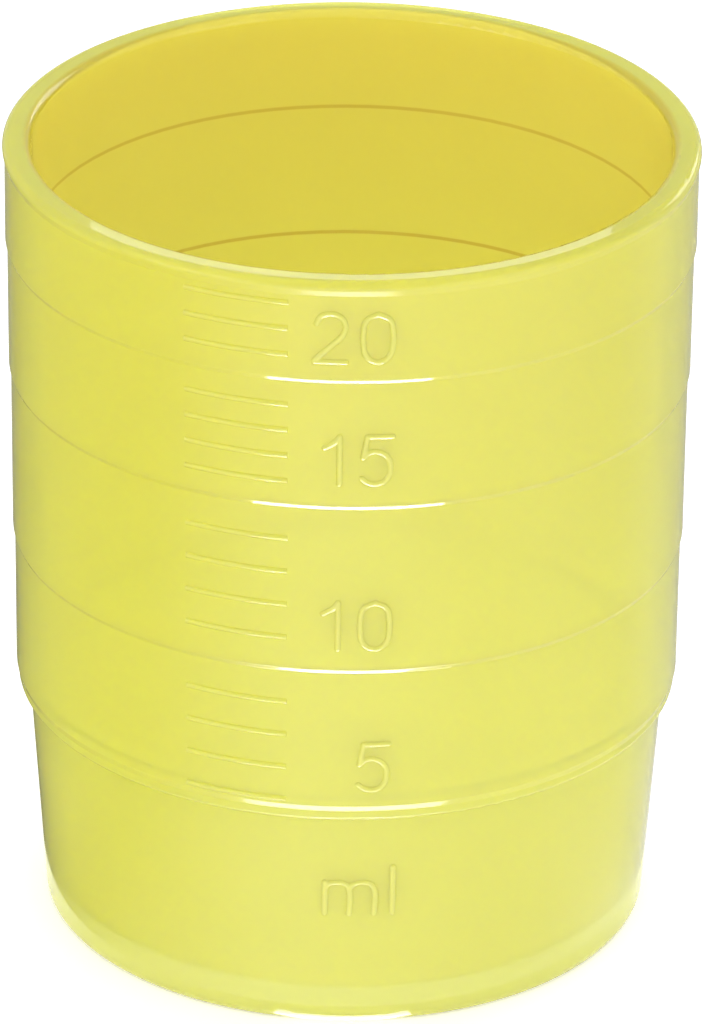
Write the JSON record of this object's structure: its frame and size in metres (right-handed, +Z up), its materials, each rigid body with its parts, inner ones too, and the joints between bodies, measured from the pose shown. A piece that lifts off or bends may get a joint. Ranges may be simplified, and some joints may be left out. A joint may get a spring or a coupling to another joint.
{
  "type": "medicine cup",
  "caption": "Small translucent plastic dosing cup with a stepped graduated wall and a tapered foot, for measuring and giving liquid medicine",
  "frame": {"origin": "centre of the flat underside, which rests on the table", "axes": "+Z up along the cup's axis out of its mouth, -Y the side with the numerals, +X to the right of a person who reads them"},
  "size_m": [0.032, 0.032, 0.0385],
  "materials": {
    "cup_plastic": "satin translucent"
  },
  "bodies": {
    "root": {"medicine_cup": "cup_plastic"}
  },
  "joints": []
}
